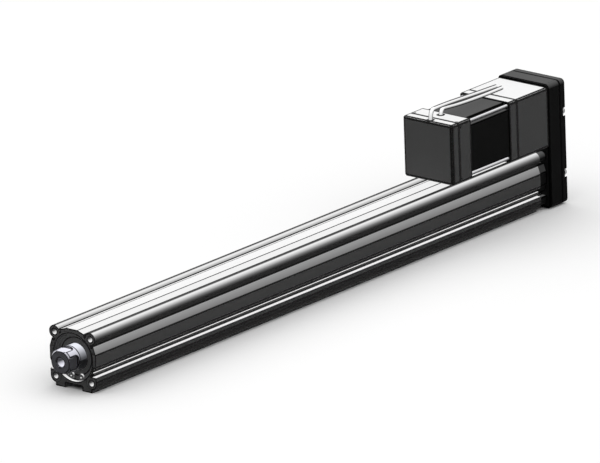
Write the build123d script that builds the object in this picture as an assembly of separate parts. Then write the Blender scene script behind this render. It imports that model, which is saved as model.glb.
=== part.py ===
from build123d import *
import os
from math import atan2, degrees, pi, sin, tan

# Electric rod actuator: a ball screw in an extruded body, driven by a toothed belt from a
# motor that lies back over the body. All sizes are in millimetres.
# +X is the way the rod comes out, +Y is to the right of someone who faces the front, +Z is up.
# The origin is on the rod's axis, in the plane of the body's front face.

# Extruded body: an eight-sided tube with a screw boss at each corner and two feet
body_half = 22.0
flat_half = 5.4
facet_out = 19.7
facet_across = 11.9
groove_slant = 0.7
groove_depth = 1.7
boss_pitch = 34.0
boss_r = 5.0
foot_bottom = 24.5
foot_inner = 8.0
foot_outer = 17.3
channel_roof = 21.0
bore_r = 16.0
key_slot_depth = 1.3
key_slot_width = 5.2
end_thread_r = 2.1
end_thread_depth = 14.0
foot_thread_r = 2.1
foot_thread_depth = 6.5
foot_thread_pitch = 29.0
foot_thread_front = 20.0
foot_thread_rear = 24.5

# Sensor slot in each lower side facet: a round pocket behind a narrower mouth
slot_flat_half = 4.1
slot_facet_out = 19.5
slot_facet_across = 10.4
sensor_mouth = 2.6
sensor_pocket_r = 1.9
sensor_pocket_deep = 1.6

# Travel, and what adds up to the body's length
stroke = 400.0
cover_depth = 34.0
front_bumper_thick = 3.0
front_stop_gap = 2.0
piston_length = 59.5
rear_stop_gap = 2.0
rear_bumper_thick = 3.0
spigot_length = 16.0

# Front recess, rod cover and what seals and holds it
recess_r = 18.3
recess_depth = 8.0
clip_station = 2.6
clip_thick = 1.5
clip_groove_deep = 0.9
clip_width = 2.3
clip_gap_half_angle = 9.0
clip_lug_r = 2.3
clip_lug_hole_r = 0.9
clip_slack = 0.2
seal_r = 14.5
seal_depth = 5.4
seal_lip = 1.3
bush_wall = 2.0
bumper_relief = 1.0

# Rod and rod end
rod_r = 10.0
rod_wall = 2.4
rod_fit = 0.04
rod_stub = 3.0
socket_reach = 14.5
socket_face_r = 8.9
wrench_size = 17.0
wrench_length = 9.8
wrench_corner = 3.5
socket_spigot_length = 21.0
thread_r = 3.4
thread_depth = 13.0
thread_mouth = 0.6

# Piston, magnet, anti-turn ring and nut
piston_gap = 0.4
rod_seat_depth = 20.0
magnet_station = 6.0
magnet_width = 6.0
ring_groove_deep = 2.1
key_station = 24.0
key_width = 12.0
key_slack = 0.25
nut_r = 12.5
nut_length = 32.0

# Ball screw
screw_r = 6.0
nut_gap = 0.15
screw_past_nut = 5.0
journal_r = 5.0
drive_seat_r = 4.0
tip_seat_r = 4.0
tip_length = 10.0
wear_ring_width = 6.0
wear_ring_wall = 1.2
wear_ring_gap = 0.1

# Bearing housing behind the body
housing_flange = 9.2
housing_inset = 1.2
housing_boss_r = 3.6
housing_fit = 0.02
bearing_r = 13.0
bearing_race = 2.2
bearing_width = 16.0
bearing_stop_thick = 4.0
bearing_shoulder = 1.8
lock_nut_r = 7.4
lock_nut_length = 4.8

# Return box with the belt drive, and its rear cover
box_width = 48.2
box_over_motor = 2.0
box_under_body = 1.6
box_corner = 3.5
box_edge = 0.8
box_depth = 14.0
box_web = 3.0
rear_cover_depth = 7.0
rear_cover_web = 3.5
rear_cover_edge = 1.8
cavity_r = 16.0
shaft_hole_r = 9.0
cover_screw_edge = 3.25
cover_screw_r = 1.5
cover_screw_reach = 8.0
scallop_r = 4.5
scallop_depth = 3.5
head_height = 3.0
head_r = 2.75
housing_bolt_r = 2.4
housing_bolt_head_r = 4.25
housing_bolt_reach = 12.0
housing_bolt_sink = 3.0

# Toothed belt and its two equal pulleys
belt_pitch = 3.0
belt_teeth_on_pulley = 24
belt_width = 9.0
belt_back = 0.9
belt_body = 1.15
belt_tooth_height = 1.1
belt_tooth_width = 1.6
pulley_tip_drop = 0.38
pulley_groove_deep = 1.2
pulley_groove_width = 2.0
pulley_root_width = 1.3
pulley_clear = 1.0
flange_r = 13.4
flange_thick = 1.0

# Motor over the body, axis above the screw's
motor_over_body = 2.4
motor_size = 47.2
motor_corner = 1.2
cap_length = 8.4
cap_wall = 3.0
cap_front_wall = 2.4
cap_edge = 1.2
rear_bell_length = 14.1
stack_length = 46.0
stack_inset = 0.6
notch_clear = 1.3
front_bell_length = 8.8
brake_length = 36.4
motor_shaft_r = 4.0
rotor_r = 12.0
air_gap = 0.3
rotor_short = 2.0
winding_inset = 4.0
winding_wall = 5.0
winding_length = 2.6
winding_room = 3.0
winding_clear = 0.8
motor_bearing_r = 11.0
shaft_running = 0.05
motor_bearing_width = 6.0
shaft_clear = 3.0
through_screw_inset = 2.9
through_screw_r = 1.2
through_screw_bite = 6.5
through_head_r = 2.0
through_head_height = 2.4
through_head_sink = 2.6
screw_hole_slack = 0.1
mount_screw_inset = 5.5
mount_screw_r = 1.5
mount_screw_bite = 10.0
mount_screw_sink = 1.6
encoder_board_half = 13.0
encoder_board_thick = 1.5
encoder_disc_r = 11.0
encoder_disc_thick = 1.2
encoder_gap = 1.5

# Holding brake between the motor and the return box
brake_wall = 3.5
brake_end_wall = 8.5
brake_coil_length = 14.0
brake_release = 0.3
brake_armature_thick = 2.5
brake_gap = 0.1
brake_disc_thick = 3.5
brake_disc_inset = 2.5
brake_plate_thick = 2.5
brake_inner_r = 8.0

# Two leads that leave the top of the motor and end bare
lead_d = 3.3
lead_start_deep = 2.9
grommet_r = 2.1
grommet_height = 0.3
encoder_lead_before_bell = 5.1
power_lead_before_stack = 5.2

# Stations along X that several pieces share
bush_r = rod_r + bush_wall
cover_rear = -cover_depth
piston_front = cover_rear - front_bumper_thick - front_stop_gap - stroke
piston_rear = piston_front - piston_length
spigot_front = piston_rear - rear_stop_gap - rear_bumper_thick
body_rear = spigot_front - spigot_length
box_front = body_rear - housing_flange
box_rear = box_front - box_depth
cover_end = box_rear - rear_cover_depth
web_rear = box_front - box_web
cavity_rear = cover_end + rear_cover_web
bearing_rear = box_front + bearing_stop_thick
bearing_front = bearing_rear + bearing_width
clip_front = -clip_station
clip_rear = clip_front - clip_thick
rod_end = piston_front - rod_seat_depth
nut_rear = rod_end - nut_length
screw_tip = rod_end + stroke + screw_past_nut
pulley_front = web_rear - pulley_clear
pulley_rear = cavity_rear + pulley_clear
belt_mid = (pulley_front + pulley_rear) / 2
bell_face = box_front + brake_length
stack_rear = bell_face + front_bell_length
stack_front = stack_rear + stack_length
cap_rear = stack_front + rear_bell_length
cap_front = cap_rear + cap_length
motor_half = motor_size / 2
motor_height = body_half + motor_over_body + motor_half
motor_top = motor_height + motor_half
box_top = motor_top + box_over_motor
box_bottom = -body_half - box_under_body
cover_screw_out = box_width / 2 - cover_screw_edge
stack_notch = through_screw_inset - stack_inset + through_screw_r + notch_clear
through_screw_pitch = motor_size - 2 * through_screw_inset
mount_screw_pitch = motor_size - 2 * mount_screw_inset
winding_r = motor_half - winding_inset
brake_bore_r = motor_half - brake_wall
brake_disc_r = brake_bore_r - brake_disc_inset
pulley_pitch_r = belt_pitch * belt_teeth_on_pulley / (2 * pi)
pulley_tip_r = pulley_pitch_r - pulley_tip_drop
rod_bore_r = rod_r - rod_wall
piston_r = bore_r - piston_gap
from_below = (Align.CENTER, Align.CENTER, Align.MIN)

# Routes of the two leads, each from its start in the motor's top wall to the bare end
encoder_lead_start = (cap_rear + encoder_lead_before_bell, 0.7, motor_top - lead_start_deep)
encoder_lead_route = [
    (0.0, 0.0, 0.0), (0.0, 0.0, 10.3), (-7.8, 0.0, 10.6), (-22.2, -0.2, 10.4),
    (-41.2, -0.4, 9.5), (-60.2, -0.5, 8.7), (-78.6, -0.7, 8.1),
]
power_lead_start = (stack_front + power_lead_before_stack, -0.8, motor_top - lead_start_deep)
power_lead_route = [
    (0.0, 0.0, 0.0), (0.0, 0.0, 7.4), (-7.3, 0.0, 6.9), (-20.2, 0.1, 5.8),
    (-38.2, -0.1, 5.0), (-55.7, 0.0, 4.7), (-72.6, -0.1, 4.8),
]


def slab(sketch, front, rear):
    """Extrudes an outline drawn in the YZ plane between two stations on the X axis."""
    return extrude(Plane.YZ.offset(rear) * sketch, amount=front - rear)


def bar(radius, front, rear, y=0.0, z=0.0):
    """A round bar along X."""
    return slab(Pos(y, z) * Circle(radius), front, rear)


def sleeve(outer, inner, front, rear, z=0.0):
    """A round sleeve along X."""
    return slab(Pos(0, z) * (Circle(outer) - Circle(inner)), front, rear)


def turned(profile, z=0.0):
    """Turns a closed list of (station, radius) corners about an axis along X."""
    return Pos(0, 0, z) * revolve(Plane.XZ * Polygon(*profile, align=None), axis=Axis.X)


def square_places(pitch, z=0.0):
    """The four corners of a bolt square, as places in the YZ plane."""
    half = pitch / 2
    return [(y, z + h) for y in (-half, half) for h in (-half, half)]


def bars(places, radius, front, rear):
    """Equal round bars along X at the given places."""
    return [bar(radius, front, rear, y, z) for y, z in places]


def cap_screws(places, shank_r, seat, reach, head_radius=head_r, height=head_height):
    """Socket head screws, heads towards -X, that seat at one station and reach forward."""
    screws = []
    for y, z in places:
        screw = bar(shank_r, seat + reach, seat, y, z) + bar(head_radius, seat, seat - height, y, z)
        screws.append(screw)
    return screws


def extrusion_outline(inset, corner_r):
    """The eight-sided outline with a groove beside each corner boss; the lower bosses have a shoulder."""
    flat = body_half - inset
    facet = facet_out - inset
    quarter = [
        (flat, flat_half),
        (facet, facet_across),
        (facet - groove_depth, facet_across - groove_slant),
        (facet_across - groove_slant, facet - groove_depth),
        (facet_across, facet),
        (flat_half, flat),
    ]
    slot_side = [
        (slot_facet_out - inset - groove_depth, groove_slant - slot_facet_across),
        (slot_facet_out - inset, -slot_facet_across),
        (flat, -slot_flat_half),
    ]
    right = [(y, -z) for y, z in reversed(quarter[3:])] + slot_side + quarter
    outline = Polygon(*(right + [(-y, z) for y, z in reversed(right)]), align=None)
    for y, z in square_places(boss_pitch):
        outline += Pos(y, z) * Circle(corner_r)
    for turn in (45, 135):
        outline += Rot(Z=turn) * Rectangle(boss_pitch * 2 ** 0.5, corner_r)
    shoulder = corner_r + groove_depth
    for side in (-1, 1):
        shoulder_at = (side * (boss_pitch / 2 + corner_r - shoulder / 2), (corner_r - boss_pitch) / 2)
        outline += Pos(*shoulder_at) * Rectangle(shoulder, corner_r)
    return outline


def sensor_slot():
    """One sensor slot, on the right; it opens square to the lower side facet."""
    tilt = degrees(atan2(body_half - slot_facet_out, slot_facet_across - slot_flat_half))
    middle = ((body_half + slot_facet_out) / 2, -(slot_flat_half + slot_facet_across) / 2)
    mouth = Rectangle(2 * sensor_pocket_deep, sensor_mouth)
    pocket = Pos(-sensor_pocket_deep, 0) * Circle(sensor_pocket_r)
    return Pos(*middle) * Rot(Z=-tilt) * (mouth + pocket)


def body_tube():
    """The extrusion, bored for the rod cover and tapped at both ends and in the feet."""
    outline = extrusion_outline(0.0, boss_r)
    foot_height = foot_bottom - boss_pitch / 2
    foot_width = foot_outer - foot_inner
    for side in (-1, 1):
        foot_at = (side * (foot_inner + foot_width / 2), -(foot_bottom - foot_height / 2))
        outline += Pos(*foot_at) * Rectangle(foot_width, foot_height)
    channel_deep = foot_bottom - channel_roof
    outline -= Pos(0, -(channel_roof + channel_deep / 2)) * Rectangle(2 * foot_inner, channel_deep)
    slot = sensor_slot()
    outline -= slot
    outline -= mirror(slot, about=Plane.YZ)
    outline -= Circle(bore_r)
    outline -= Rectangle(2 * (bore_r + key_slot_depth), key_slot_width)
    tube = slab(outline, 0.0, body_rear)
    tube -= bar(recess_r, 0.0, -recess_depth)
    tube -= bar(recess_r + clip_groove_deep, clip_front, clip_rear)
    corners = square_places(boss_pitch)
    tube -= bars(corners, end_thread_r, 0.0, -end_thread_depth)
    tube -= bars(corners, housing_bolt_r + screw_hole_slack, body_rear + end_thread_depth, body_rear)
    for x in (-foot_thread_front, body_rear + foot_thread_rear):
        for y in (-foot_thread_pitch / 2, foot_thread_pitch / 2):
            tube -= Pos(x, y, -foot_bottom) * Cylinder(foot_thread_r, foot_thread_depth, align=from_below)
    return tube


def rod_cover():
    """The bearing carrier of the rod: a flange in the recess and a spigot in the bore."""
    flange_r = recess_r - housing_fit
    spigot_r = bore_r - housing_fit
    seal_rear = clip_rear - seal_depth
    return turned([
        (clip_rear, seal_r), (clip_rear, flange_r), (-recess_depth, flange_r), (-recess_depth, spigot_r),
        (cover_rear, spigot_r), (cover_rear, bush_r), (seal_rear, bush_r), (seal_rear, seal_r),
    ])


def rod_bush():
    """Plain bush that guides the rod."""
    return sleeve(bush_r, rod_r + rod_fit, clip_rear - seal_depth, cover_rear)


def rod_seal():
    """Wiper seal with a lip on the rod."""
    rear = clip_rear - seal_depth
    lip_r = rod_r + rod_fit
    return turned([
        (rear, seal_r), (rear, bush_r - seal_lip / 2), (clip_rear - seal_lip, lip_r), (clip_rear, lip_r),
        (clip_rear, seal_r),
    ])


def retaining_ring():
    """Internal spring clip with two lugs and plier holes at the bottom."""
    outer = recess_r + clip_groove_deep - clip_slack
    inner = outer - clip_width
    ring = Circle(outer) - Circle(inner)
    gap = Rot(Z=-90) * Polygon((0, 0), (2 * outer, 2 * outer * sin(clip_gap_half_angle * pi / 180)),
                               (2 * outer, -2 * outer * sin(clip_gap_half_angle * pi / 180)), align=None)
    ring -= gap
    lug_place = recess_r - clip_lug_r - clip_slack
    for side in (-1, 1):
        swing = Rot(Z=-90 + side * (clip_gap_half_angle + degrees(clip_lug_r / lug_place)))
        ring += swing * Pos(lug_place, 0) * Circle(clip_lug_r)
        ring -= swing * Pos(lug_place, 0) * Circle(clip_lug_hole_r)
    return slab(ring, clip_front, clip_rear)


def bumpers():
    """Soft stops behind the rod cover and in front of the bearing housing."""
    outer = bore_r - bumper_relief
    rear_stop = spigot_front + rear_bumper_thick
    return [
        sleeve(outer, rod_r + bumper_relief, cover_rear, cover_rear - front_bumper_thick),
        sleeve(outer, screw_r + 2 * bumper_relief, rear_stop, spigot_front),
    ]


def piston_rod():
    """Hollow rod; the screw runs inside it."""
    return sleeve(rod_r, rod_bore_r, rod_stub, rod_end)


def rod_end_socket():
    """Rod end: wrench flats on four sides, a tapped hole in front and a spigot in the rod."""
    face_chamfer = rod_r - socket_face_r
    half_flat = wrench_size / 2
    spigot_rear = rod_stub - socket_spigot_length
    socket = turned([
        (socket_reach, 0), (socket_reach, socket_face_r), (socket_reach - face_chamfer, rod_r),
        (rod_stub, rod_r), (rod_stub, rod_bore_r), (spigot_rear, rod_bore_r), (spigot_rear, 0),
    ])
    depth = rod_r - half_flat
    for turn in range(4):
        pocket = Box(2 * wrench_length, depth, 2 * rod_r)
        pocket = fillet(pocket.edges().filter_by(Axis.Y), wrench_corner)
        pocket = Pos(socket_reach, half_flat + depth / 2, 0) * pocket
        socket -= Rot(X=90 * turn) * pocket
    socket -= bar(thread_r, socket_reach, socket_reach - thread_depth)
    mouth = [(socket_reach, 0), (socket_reach, thread_r + thread_mouth), (socket_reach - thread_mouth, thread_r),
             (socket_reach - thread_mouth, 0)]
    return socket - turned(mouth)


def piston():
    """Carrier that joins rod and nut, grooved for the magnet and the anti-turn ring."""
    groove_r = piston_r - ring_groove_deep
    magnet_at = piston_front - magnet_station
    key_at = piston_front - key_station
    carrier = sleeve(piston_r, rod_r, piston_front, piston_rear)
    carrier -= bar(nut_r, rod_end, piston_rear)
    carrier -= sleeve(piston_r + 1, groove_r, magnet_at, magnet_at - magnet_width)
    carrier -= sleeve(piston_r + 1, groove_r, key_at, key_at - key_width)
    return carrier


def magnet_ring():
    """Magnet that the sensors in the slots pick up."""
    front = piston_front - magnet_station
    return sleeve(piston_r, piston_r - ring_groove_deep, front, front - magnet_width)


def rotation_stopper():
    """Ring with two keys that run in the bore's slots and keep the rod from turning."""
    front = piston_front - key_station
    keys = Rectangle(2 * (bore_r + key_slot_depth - key_slack), key_slot_width - 2 * key_slack)
    outline = Circle(piston_r) + keys - Circle(piston_r - ring_groove_deep)
    return slab(outline, front, front - key_width)


def screw_nut():
    """Ball nut."""
    return sleeve(nut_r, screw_r + nut_gap, rod_end, nut_rear)


def nut_retainer():
    """Threaded ring that clamps the nut in the piston."""
    return sleeve(nut_r, screw_r + 1.0, nut_rear, piston_rear)


def screw_shaft():
    """Ball screw with a bearing journal, a belt pulley seat and a seat for the wear ring."""
    return turned([
        (screw_tip + tip_length, 0), (screw_tip + tip_length, tip_seat_r), (screw_tip, tip_seat_r),
        (screw_tip, screw_r), (bearing_front, screw_r), (bearing_front, journal_r),
        (pulley_front, journal_r), (pulley_front, drive_seat_r), (pulley_rear, drive_seat_r), (pulley_rear, 0),
    ])


def wear_ring_sizes():
    """Outer radius and ends of the wear ring, which steadies the screw's tip in the rod."""
    outer = rod_bore_r - wear_ring_gap
    middle = screw_tip + tip_length / 2
    return outer, middle + wear_ring_width / 2, middle - wear_ring_width / 2


def wear_ring_holder():
    """Spool on the screw's tip."""
    outer, front, rear = wear_ring_sizes()
    waist = outer - wear_ring_wall
    rim = outer - wear_ring_wall / 4
    tip = screw_tip + tip_length
    return turned([
        (tip, tip_seat_r), (tip, rim), (front, rim), (front, waist), (rear, waist), (rear, rim),
        (screw_tip, rim), (screw_tip, tip_seat_r),
    ])


def wear_ring():
    """Polymer ring round the spool."""
    outer, front, rear = wear_ring_sizes()
    return sleeve(outer, outer - wear_ring_wall, front, rear)


def bearing_housing():
    """Dark housing behind the body: flange of the body's shape and a spigot in its bore."""
    flange = slab(extrusion_outline(housing_inset, housing_boss_r), body_rear, box_front)
    housing = flange + bar(bore_r - housing_fit, spigot_front, body_rear)
    housing -= bar(bearing_r - bearing_shoulder, spigot_front, bearing_front)
    housing -= bar(bearing_r, bearing_front, box_front)
    housing -= bars(square_places(boss_pitch), housing_bolt_r + screw_hole_slack, body_rear, box_front)
    return housing


def screw_bearing_outer_ring():
    """Outer race of the screw's bearing."""
    return sleeve(bearing_r, bearing_r - bearing_race, bearing_front, bearing_rear)


def screw_bearing_inner_ring():
    """Inner race, on the screw's journal."""
    return sleeve(journal_r + bearing_race, journal_r, bearing_front, bearing_rear)


def bearing_stopper():
    """Threaded ring behind the outer race."""
    return sleeve(bearing_r, bearing_r - bearing_race - bearing_shoulder, bearing_rear, box_front)


def screw_locknut():
    """Nut that clamps the inner race to the screw."""
    return sleeve(lock_nut_r, journal_r, bearing_rear, bearing_rear - lock_nut_length)


def box_outline():
    """Outline shared by the return box and its cover."""
    height = box_top - box_bottom
    return Pos(0, (box_top + box_bottom) / 2) * RectangleRounded(box_width, height, box_corner)


def cavity_outline():
    """Round-ended cavity round both pulleys."""
    return Pos(0, motor_height / 2) * Rot(Z=90) * SlotCenterToCenter(motor_height, 2 * cavity_r)


def cover_screw_places():
    """Screws of the rear cover, level with the two pulleys."""
    return [(side * cover_screw_out, z) for side in (-1, 1) for z in (0.0, motor_height)]


def return_box():
    """Casting that joins body and motor side by side and holds the belt drive."""
    box = slab(box_outline(), box_front, box_rear)
    box = chamfer(box.faces().sort_by(Axis.X)[-1].edges(), box_edge)
    box -= slab(cavity_outline(), web_rear, box_rear)
    for z in (0.0, motor_height):
        box -= bar(shaft_hole_r, box_front, web_rear, 0.0, z)
    bolts = square_places(boss_pitch)
    box -= bars(bolts, housing_bolt_r + screw_hole_slack, box_front, box_rear)
    box -= bars(bolts, housing_bolt_head_r + screw_hole_slack, box_front - housing_bolt_sink, box_rear)
    mounts = square_places(mount_screw_pitch, motor_height)
    box -= bars(mounts, mount_screw_r + screw_hole_slack, box_front, box_rear)
    box -= bars(mounts, head_r + screw_hole_slack, box_front - mount_screw_sink, box_rear)
    reach = cover_screw_reach - (rear_cover_depth - scallop_depth)
    return box - bars(cover_screw_places(), cover_screw_r, box_rear + reach, box_rear)


def return_cover():
    """Rear cover of the belt drive, scalloped at the sides for its four screws."""
    cover = slab(box_outline(), box_rear, cover_end)
    cover = fillet(cover.faces().sort_by(Axis.X)[0].edges(), rear_cover_edge)
    cover -= slab(cavity_outline(), box_rear, cavity_rear)
    cover -= bars(cover_screw_places(), cover_screw_r + screw_hole_slack, box_rear, cover_end)
    return cover - bars(cover_screw_places(), scallop_r, cover_end + scallop_depth, cover_end)


def return_cover_screws():
    """Four socket head screws in the scallops."""
    return cap_screws(cover_screw_places(), cover_screw_r, cover_end + scallop_depth, cover_screw_reach)


def housing_bolts():
    """Four bolts through the return box and the bearing housing into the body."""
    seat = box_front - housing_bolt_sink
    reach = housing_bolt_sink + housing_flange + housing_bolt_reach
    return cap_screws(square_places(boss_pitch), housing_bolt_r, seat, reach, housing_bolt_head_r)


def motor_mount_screws():
    """Four screws through the return box into the brake housing."""
    seat = box_front - mount_screw_sink
    return cap_screws(square_places(mount_screw_pitch, motor_height), mount_screw_r, seat,
                      mount_screw_sink + mount_screw_bite)


def toothed_wheel():
    """Outline of a belt pulley: a groove for each belt tooth."""
    groove = Polygon(
        (pulley_tip_r + 1, pulley_groove_width / 2), (pulley_tip_r + 1, -pulley_groove_width / 2),
        (pulley_tip_r - pulley_groove_deep, -pulley_root_width / 2),
        (pulley_tip_r - pulley_groove_deep, pulley_root_width / 2), align=None,
    )
    wheel = Circle(pulley_tip_r)
    for tooth in range(belt_teeth_on_pulley):
        wheel -= Rot(Z=tooth * 360 / belt_teeth_on_pulley) * groove
    return wheel


def belt_pulley(shaft_r, z):
    """Toothed pulley with a flange at each side of the belt."""
    wheel = slab(Pos(0, z) * toothed_wheel(), pulley_front, pulley_rear)
    wheel += bar(flange_r, pulley_front, pulley_front - flange_thick, 0.0, z)
    wheel += bar(flange_r, pulley_rear + flange_thick, pulley_rear, 0.0, z)
    return wheel - bar(shaft_r, pulley_front, pulley_rear, 0.0, z)


def timing_belt():
    """Toothed belt at rest; its teeth are cut on the straight runs between the pulleys."""
    outer_r = pulley_pitch_r + belt_back
    inner_r = outer_r - belt_body
    loop = SlotCenterToCenter(motor_height, 2 * outer_r) - SlotCenterToCenter(motor_height, 2 * inner_r)
    free_half = motor_height / 2 - 2 * belt_pitch
    count = int(2 * free_half / belt_pitch) + 1
    for side in (-1, 1):
        for i in range(count):
            along = (i - (count - 1) / 2) * belt_pitch
            tooth = Rectangle(belt_tooth_width, 2 * belt_tooth_height)
            loop += Pos(along, side * inner_r) * tooth
    loop = Pos(0, motor_height / 2) * Rot(Z=90) * loop
    return slab(loop, belt_mid + belt_width / 2, belt_mid - belt_width / 2)


def squared():
    """Square motor outline with cut corners."""
    outline = Rectangle(motor_size, motor_size)
    return Pos(0, motor_height) * chamfer(outline.vertices(), motor_corner)


def lead_holes():
    """Holes in the motor's top for the two leads and their collars."""
    return [Pos(*start) * Cylinder(grommet_r, lead_start_deep + grommet_height, align=from_below)
            for start in (encoder_lead_start, power_lead_start)]


def motor_end_cap():
    """Encoder cover at the free end of the motor."""
    cap = slab(squared(), cap_front, cap_rear)
    cap = chamfer(cap.faces().sort_by(Axis.X)[-1].edges(), cap_edge)
    inside = Pos(0, motor_height) * Rectangle(motor_size - 2 * cap_wall, motor_size - 2 * cap_wall)
    return cap - slab(inside, cap_front - cap_front_wall, cap_rear) - lead_holes()


def motor_rear_bell():
    """End bell with the rear bearing seat, room for the windings and the long screws' sunk heads."""
    bell = slab(squared(), cap_rear, stack_front)
    seat = stack_front + winding_room
    bell -= bar(winding_r + winding_clear, seat, stack_front, 0.0, motor_height)
    bell -= bar(motor_bearing_r, seat + motor_bearing_width, seat, 0.0, motor_height)
    bell -= bar(motor_shaft_r + shaft_clear, cap_rear, seat, 0.0, motor_height)
    places = square_places(through_screw_pitch, motor_height)
    bell -= bars(places, through_screw_r + screw_hole_slack, cap_rear, stack_front)
    bell -= bars(places, through_head_r + screw_hole_slack, cap_rear, cap_rear - through_head_sink)
    return bell - lead_holes()


def motor_stack():
    """Black lamination stack of the stator, notched at its corners for the long screws."""
    size = motor_size - 2 * stack_inset
    outline = Rectangle(size, size) - Circle(rotor_r + air_gap)
    for y, z in square_places(size - stack_notch):
        outline -= Pos(y, z) * Rectangle(stack_notch, stack_notch)
    return slab(Pos(0, motor_height) * outline, stack_front, stack_rear)


def motor_windings():
    """End turns of the coils at both ends of the stack."""
    inner = winding_r - winding_wall
    return [
        sleeve(winding_r, inner, stack_front + winding_length, stack_front, motor_height),
        sleeve(winding_r, inner, stack_rear, stack_rear - winding_length, motor_height),
    ]


def motor_front_bell():
    """End bell on the drive side, tapped for the long screws."""
    bell = slab(squared(), stack_rear, bell_face)
    seat = stack_rear - winding_room
    bell -= bar(winding_r + winding_clear, stack_rear, seat, 0.0, motor_height)
    bell -= bar(motor_bearing_r, seat, seat - motor_bearing_width, 0.0, motor_height)
    bell -= bar(motor_shaft_r + shaft_clear, seat, bell_face, 0.0, motor_height)
    places = square_places(through_screw_pitch, motor_height)
    return bell - bars(places, through_screw_r, stack_rear, stack_rear - through_screw_bite)


def motor_through_screws():
    """Four long screws that hold bells and stack together; they show in the stack's notches."""
    screws = []
    seat = cap_rear - through_head_sink
    tip = stack_rear - through_screw_bite
    for y, z in square_places(through_screw_pitch, motor_height):
        head = bar(through_head_r, seat + through_head_height, seat, y, z)
        screws.append(bar(through_screw_r, seat, tip, y, z) + head)
    return screws


def motor_bearing_places():
    """Front and rear station of each motor bearing, free end first."""
    rear_seat = stack_front + winding_room
    front_seat = stack_rear - winding_room
    return [(rear_seat + motor_bearing_width, rear_seat), (front_seat, front_seat - motor_bearing_width)]


def motor_bearings():
    """Sealed ball bearings in the two bells."""
    inner = motor_shaft_r + shaft_running
    return [sleeve(motor_bearing_r, inner, a, b, motor_height) for a, b in motor_bearing_places()]


def motor_shaft():
    """Shaft from the encoder disc to the pulley."""
    front = cap_rear + encoder_board_thick + encoder_gap + encoder_disc_thick
    return bar(motor_shaft_r, front, pulley_rear, 0.0, motor_height)


def rotor():
    """Magnetic rotor inside the stack."""
    return sleeve(rotor_r, motor_shaft_r, stack_front - rotor_short, stack_rear + rotor_short, motor_height)


def encoder_board():
    """Encoder board on the rear bell."""
    outline = Rectangle(2 * encoder_board_half, 2 * encoder_board_half) - Circle(motor_shaft_r + shaft_clear)
    return slab(Pos(0, motor_height) * outline, cap_rear + encoder_board_thick, cap_rear)


def encoder_disc():
    """Encoder disc on the end of the shaft."""
    rear = cap_rear + encoder_board_thick + encoder_gap
    return sleeve(encoder_disc_r, motor_shaft_r, rear + encoder_disc_thick, rear, motor_height)


def brake_stations():
    """Stations of the brake's layers, from the return box forward."""
    coil_rear = box_front + brake_end_wall
    coil_front = coil_rear + brake_coil_length
    armature_rear = coil_front + brake_release
    armature_front = armature_rear + brake_armature_thick
    disc_rear = armature_front + brake_gap
    disc_front = disc_rear + brake_disc_thick
    plate_rear = disc_front + brake_gap
    return coil_rear, coil_front, armature_rear, armature_front, disc_rear, disc_front, plate_rear


def brake_housing():
    """Housing of the holding brake, bored from the motor side, tapped for the mount screws."""
    housing = slab(squared(), bell_face, box_front)
    housing -= bar(brake_bore_r, bell_face, box_front + brake_end_wall, 0.0, motor_height)
    housing -= bar(motor_shaft_r + shaft_clear, bell_face, box_front, 0.0, motor_height)
    places = square_places(mount_screw_pitch, motor_height)
    depth = mount_screw_bite
    return housing - bars(places, mount_screw_r, box_front + depth, box_front)


def brake_coil():
    """Magnet body of the brake."""
    coil_rear, coil_front = brake_stations()[:2]
    return sleeve(brake_bore_r, brake_inner_r, coil_front, coil_rear, motor_height)


def brake_armature():
    """Sprung plate that grips the disc until the coil pulls it back."""
    rear, front = brake_stations()[2:4]
    return sleeve(brake_bore_r - brake_release, brake_inner_r, front, rear, motor_height)


def brake_disc():
    """Friction disc on the motor shaft."""
    rear, front = brake_stations()[4:6]
    return sleeve(brake_disc_r, motor_shaft_r, front, rear, motor_height)


def brake_plate():
    """Fixed plate on the other side of the disc."""
    rear = brake_stations()[6]
    return sleeve(brake_bore_r, brake_inner_r, rear + brake_plate_thick, rear, motor_height)


def lead(name, start, route):
    """A lead as straight runs joined by arcs, from its start; prints its radii and length."""
    radii = []
    for a, b, c in zip(route, route[1:], route[2:]):
        before = Vector(*b) - Vector(*a)
        after = Vector(*c) - Vector(*b)
        half_turn = before.get_angle(after) / 2 * pi / 180
        shorter = min(before.length, after.length)
        radii.append(0.45 * shorter / tan(half_turn))
    path = FilletPolyline(*route, radius=radii)
    tube = sweep(Plane(origin=path @ 0, z_dir=path % 0) * Circle(lead_d / 2), path=path)
    true_volume = pi * (lead_d / 2) ** 2 * path.length
    print(name, "radii", [round(r, 1) for r in radii], "length", round(path.length, 2),
          "volume ratio", round(tube.volume / true_volume, 4))
    return Pos(*start) * tube


def lead_grommets():
    """Small collars where the leads leave the motor."""
    collars = []
    for start in (encoder_lead_start, power_lead_start):
        outline = Circle(grommet_r) - Circle(lead_d / 2)
        collars.append(Pos(*start) * extrude(outline, amount=lead_start_deep + grommet_height))
    return collars


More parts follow.
